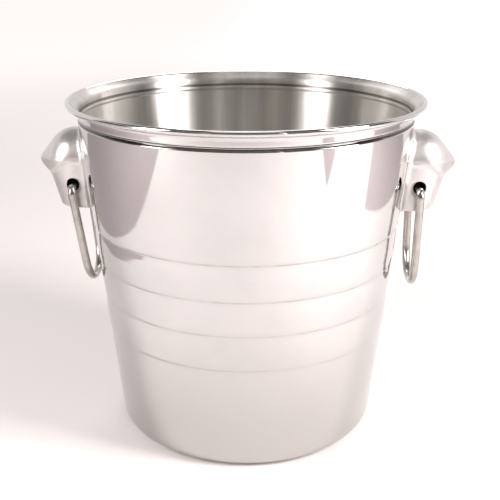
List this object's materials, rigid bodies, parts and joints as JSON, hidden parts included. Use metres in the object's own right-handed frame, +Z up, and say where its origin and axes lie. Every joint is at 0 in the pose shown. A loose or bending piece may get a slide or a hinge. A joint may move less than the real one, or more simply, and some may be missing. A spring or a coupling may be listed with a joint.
{
  "type": "champagne bucket",
  "caption": "Round tapered polished steel wine bucket with a rolled rim, stepped lines, and a hooded ear with a swinging wire ring handle on each side.",
  "frame": {"origin": "middle of the foot, on the table", "axes": "+X through the middle of one ear and its ring, +Z up through the mouth"},
  "size_m": [0.2618, 0.22, 0.212],
  "materials": {
    "polished_steel": "mirror-polished stainless steel outside, finely turned satin inside",
    "polished_ear": "bright polished cast metal",
    "satin_wire": "softly polished steel wire",
    "screw_steel": "plain turned stainless steel",
    "seal_rubber": "black sealing rubber"
  },
  "bodies": {
    "bucket": {"bucket_shell": "polished_steel", "left_ear": "polished_ear", "left_ear_screws": "screw_steel", "left_ear_washers": "screw_steel", "left_ear_seals": "seal_rubber", "right_ear": "polished_ear", "right_ear_screws": "screw_steel", "right_ear_washers": "screw_steel", "right_ear_seals": "seal_rubber"},
    "left_ring": {"left_ring": "satin_wire"},
    "right_ring": {"right_ring": "satin_wire"}
  },
  "joints": [
    {"name": "left_ring_swing", "type": "hinge", "parent": "bucket", "child": "left_ring", "pos_m": [-0.1069, 0, 0.1576], "axis": [0, 1, 0], "range_deg": [-3, 171]},
    {"name": "right_ring_swing", "type": "hinge", "parent": "bucket", "child": "right_ring", "pos_m": [0.1069, 0, 0.1576], "axis": [0, -1, 0], "range_deg": [-9.5, 165]}
  ]
}
